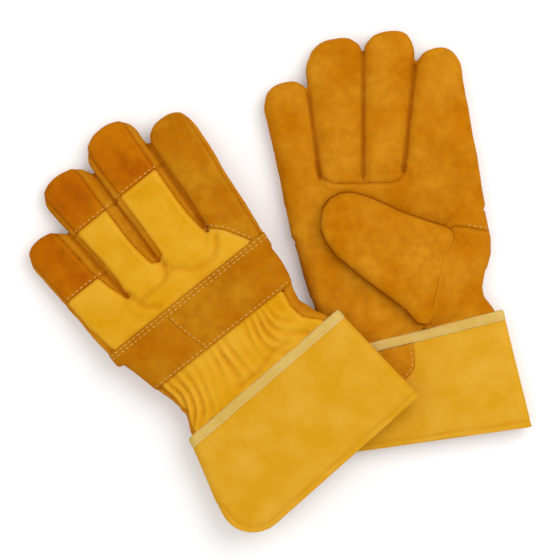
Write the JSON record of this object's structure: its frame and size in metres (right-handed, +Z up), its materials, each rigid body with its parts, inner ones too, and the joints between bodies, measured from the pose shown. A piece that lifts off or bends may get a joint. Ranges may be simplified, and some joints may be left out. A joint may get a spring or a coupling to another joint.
{
  "type": "pair of leather palm work gloves",
  "caption": "Pair of sewn work gloves with leather palms, canvas backs and stiff gauntlet cuffs, one lying back up with its cuff on the other, which lies palm up.",
  "frame": {"origin": "on the surface that the pair lies on, below the middle of the pair's bounding box", "axes": "+Z up, +Y towards the right glove's fingertips, +X towards the right glove's cuff"},
  "size_m": [0.3248, 0.3286, 0.0326],
  "materials": {
    "split_leather": "napped suede split leather, orange brown",
    "patch_leather": "napped suede split leather, darker",
    "back_canvas": "cotton drill, golden yellow, matt",
    "cuff_canvas": "rubberised canvas, golden yellow, smooth and matt",
    "seam_tape": "woven cotton tape, cream",
    "cotton_lining": "brushed cotton, natural",
    "elastic": "woven elastic, natural"
  },
  "bodies": {
    "right_hand": {"right_palm_leather": "split_leather", "right_thumb_wing": "split_leather", "right_back_canvas": "back_canvas", "right_index_back_root": "split_leather", "right_knuckle_strap_index_side": "split_leather", "right_knuckle_strap_little_side": "split_leather", "right_wrist_elastic": "elastic", "right_palm_lining": "cotton_lining", "right_cuff": "cuff_canvas", "right_cuff_seam_tape": "seam_tape", "right_vein_patch": "split_leather"},
    "right_fingers": {"right_little_front": "split_leather", "right_little_back_canvas": "back_canvas", "right_little_tip_patch": "patch_leather", "right_ring_front": "split_leather", "right_ring_back_canvas": "back_canvas", "right_ring_tip_patch": "patch_leather", "right_middle_front": "split_leather", "right_middle_back_canvas": "back_canvas", "right_middle_tip_patch": "patch_leather", "right_index_front": "split_leather", "right_index_back_leather": "split_leather", "right_fourchette_ring_little": "split_leather", "right_fourchette_middle_ring": "split_leather", "right_fourchette_index_middle": "split_leather"},
    "right_thumb": {"right_thumb_outer": "split_leather", "right_thumb_inner": "split_leather"},
    "left_hand": {"left_palm_leather": "split_leather", "left_thumb_wing": "split_leather", "left_back_canvas": "back_canvas", "left_index_back_root": "split_leather", "left_knuckle_strap_index_side": "split_leather", "left_knuckle_strap_little_side": "split_leather", "left_wrist_elastic": "elastic", "left_palm_lining": "cotton_lining", "left_cuff": "cuff_canvas", "left_cuff_seam_tape": "seam_tape", "left_vein_patch": "split_leather"},
    "left_fingers": {"left_little_front": "split_leather", "left_little_back_canvas": "back_canvas", "left_little_tip_patch": "patch_leather", "left_ring_front": "split_leather", "left_ring_back_canvas": "back_canvas", "left_ring_tip_patch": "patch_leather", "left_middle_front": "split_leather", "left_middle_back_canvas": "back_canvas", "left_middle_tip_patch": "patch_leather", "left_index_front": "split_leather", "left_index_back_leather": "split_leather", "left_fourchette_ring_little": "split_leather", "left_fourchette_middle_ring": "split_leather", "left_fourchette_index_middle": "split_leather"},
    "left_thumb": {"left_thumb_outer": "split_leather", "left_thumb_inner": "split_leather"}
  },
  "joints": [
    {"name": "left_glove_lift", "type": "slide", "parent": "right_hand", "child": "left_hand", "axis": [0, 0, 1], "range_m": [0, 0.15]},
    {"name": "right_finger_fold", "type": "hinge", "parent": "right_hand", "child": "right_fingers", "pos_m": [0.06112, 0.06478, 0.0168], "axis": [0.9863, 0.165, 0], "range_deg": [0, 75]},
    {"name": "left_finger_fold", "type": "hinge", "parent": "left_hand", "child": "left_fingers", "pos_m": [-0.0707, 0.00674, 0.02594], "axis": [0.7818, 0.6219, 0.0454], "range_deg": [0, 35]},
    {"name": "right_thumb_swing", "type": "hinge", "parent": "right_hand", "child": "right_thumb", "pos_m": [0.09053, -0.0322, 0.0291], "axis": [0.2635, 0.9647, 0], "range_deg": [0, 75]},
    {"name": "left_thumb_swing", "type": "hinge", "parent": "left_hand", "child": "left_thumb", "pos_m": [-0.00517, -0.05322, 0.005], "axis": [0.2363, -0.9716, 0.0095], "range_deg": [0, 75]}
  ]
}
